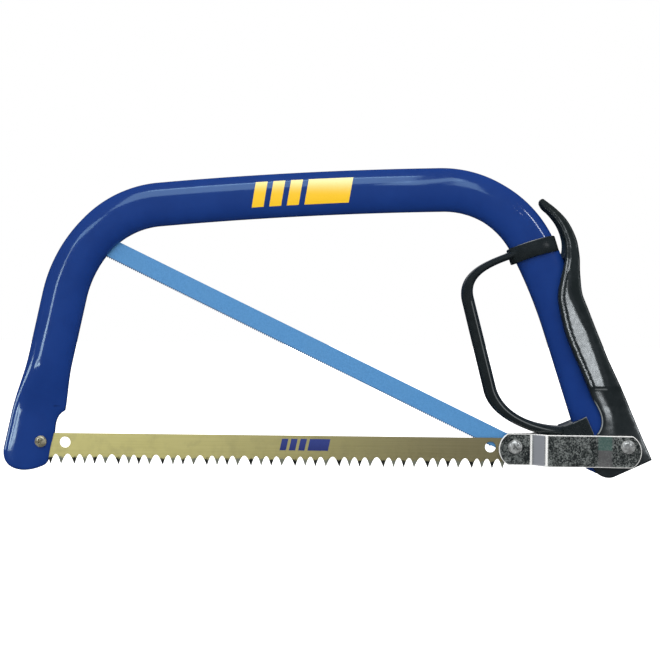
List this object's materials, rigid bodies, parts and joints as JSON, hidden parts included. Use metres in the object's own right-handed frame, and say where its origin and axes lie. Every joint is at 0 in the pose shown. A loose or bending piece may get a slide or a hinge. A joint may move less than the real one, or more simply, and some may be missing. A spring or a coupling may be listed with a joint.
{
  "type": "hacksaw",
  "caption": "Bow-framed saw with an oval tube frame, a straight toothed blade, a diagonal fine-toothed blade, an over-centre tension lever and a knuckle guard.",
  "frame": {"origin": "centre of the saw's bounding box", "axes": "+X along the blades towards the hand; +Z from the blades up to the bow; +Y across the saw, away from the side the screw heads are on"},
  "size_m": [0.4102, 0.0286, 0.1948],
  "materials": {
    "powder_coat": "gloss blue powder coat",
    "gold_lacquer": "gold lacquer on a hardened steel blade",
    "blue_paint": "flat light blue paint on a steel blade",
    "zinc_plate": "zinc-plated steel sheet",
    "bright_steel": "bright turned steel",
    "black_moulding": "glossy black moulded plastic"
  },
  "bodies": {
    "frame": {"frame_tube": "powder_coat", "front_screw": "bright_steel", "front_nut": "zinc_plate", "anchor_bracket": "zinc_plate", "anchor_pin": "bright_steel", "fulcrum_pin": "bright_steel", "fulcrum_bush": "zinc_plate", "knuckle_guard": "black_moulding", "guard_band_screw": "zinc_plate", "guard_saddle_screw": "zinc_plate"},
    "lever": {"lever": "black_moulding"},
    "links": {"link_plate_near": "zinc_plate", "link_plate_far": "zinc_plate", "link_screw": "bright_steel", "link_nut": "zinc_plate", "link_rivet_near": "bright_steel", "link_rivet_far": "bright_steel", "link_washer_near": "zinc_plate", "link_washer_far": "zinc_plate"},
    "wood_blade": {"wood_blade": "gold_lacquer"},
    "hacksaw_blade": {"hacksaw_blade": "blue_paint"}
  },
  "joints": [
    {"name": "lever_pivot", "type": "hinge", "parent": "frame", "child": "lever", "pos_m": [0.17797, 0, -0.08658], "axis": [0, 1, 0], "range_deg": [0, 120]},
    {"name": "link_pivot", "type": "hinge", "parent": "lever", "child": "links", "pos_m": [0.18867, 0, -0.07718], "axis": [0, 1, 0], "range_deg": [-100, 0]},
    {"name": "wood_blade_pivot", "type": "hinge", "parent": "frame", "child": "wood_blade", "pos_m": [-0.18013, 0, -0.07878], "axis": [0, 1, 0], "range_deg": [0, 0.2]},
    {"name": "hacksaw_blade_pivot", "type": "hinge", "parent": "frame", "child": "hacksaw_blade", "pos_m": [-0.15068, 0, 0.05085], "axis": [0, 1, 0], "range_deg": [0, 0.2]}
  ],
  "couplings": [
    {"joint": "link_pivot", "follows": "lever_pivot", "ratio": -0.832},
    {"joint": "wood_blade_pivot", "follows": "lever_pivot", "ratio": 0.00166},
    {"joint": "hacksaw_blade_pivot", "follows": "lever_pivot", "ratio": 0.00166}
  ]
}
